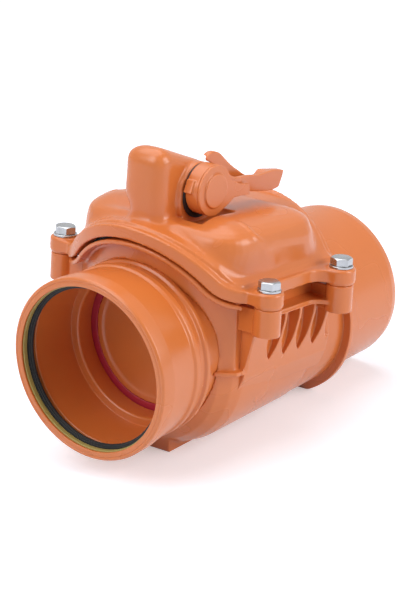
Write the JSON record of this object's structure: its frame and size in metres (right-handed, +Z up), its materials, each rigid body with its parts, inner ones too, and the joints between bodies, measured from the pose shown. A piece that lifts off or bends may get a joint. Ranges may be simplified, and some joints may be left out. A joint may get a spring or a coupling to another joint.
{
  "type": "backwater valve",
  "caption": "Inline drain backwater valve: pipe socket, arched bolted cover, inner swing flap on a hinge pin, side lever that locks the flap shut, and an outlet spigot.",
  "frame": {"origin": "on the ground plane under the middle of the valve's box, with the foot standing on it", "axes": "+Z up; +Y along the flow, from the socket at -Y to the spigot at +Y; the lever is on the +X side of its tower"},
  "size_m": [0.19, 0.271, 0.2123],
  "materials": {
    "pvc": "moulded orange-brown drain plastic, satin",
    "zinc": "zinc-plated steel",
    "black_rubber": "black sealing rubber",
    "red_rubber": "red sealing rubber",
    "olive_ring": "olive plastic retaining ring",
    "bush_plastic": "off-white bearing plastic"
  },
  "bodies": {
    "housing": {"body": "pvc", "cover": "pvc", "cover_gasket": "black_rubber", "cover_bolts": "zinc", "bolt_washers": "zinc", "bolt_nuts": "zinc", "socket_seal": "black_rubber", "seal_ring": "olive_ring", "hinge_pin": "zinc", "hinge_clips": "zinc", "shaft_bush": "bush_plastic", "inlet_socket": "pvc", "side_rails": "pvc", "spigot": "pvc"},
    "flap": {"flap": "pvc", "flap_gasket": "red_rubber"},
    "lever": {"lock_shaft": "zinc", "lock_finger": "bush_plastic", "finger_pin": "zinc", "shaft_rings": "black_rubber", "hub_seal": "black_rubber", "lever_hub": "pvc", "hub_screw": "zinc", "hub_cap": "pvc", "lever_handle": "pvc"}
  },
  "joints": [
    {"name": "flap_swing", "type": "hinge", "parent": "housing", "child": "flap", "pos_m": [0, -0.067, 0.138], "axis": [1, 0, 0], "range_deg": [0, 55]},
    {"name": "lever_turn", "type": "hinge", "parent": "housing", "child": "lever", "pos_m": [0, -0.03968, 0.17775], "axis": [1, 0, 0], "range_deg": [0, 90]}
  ]
}
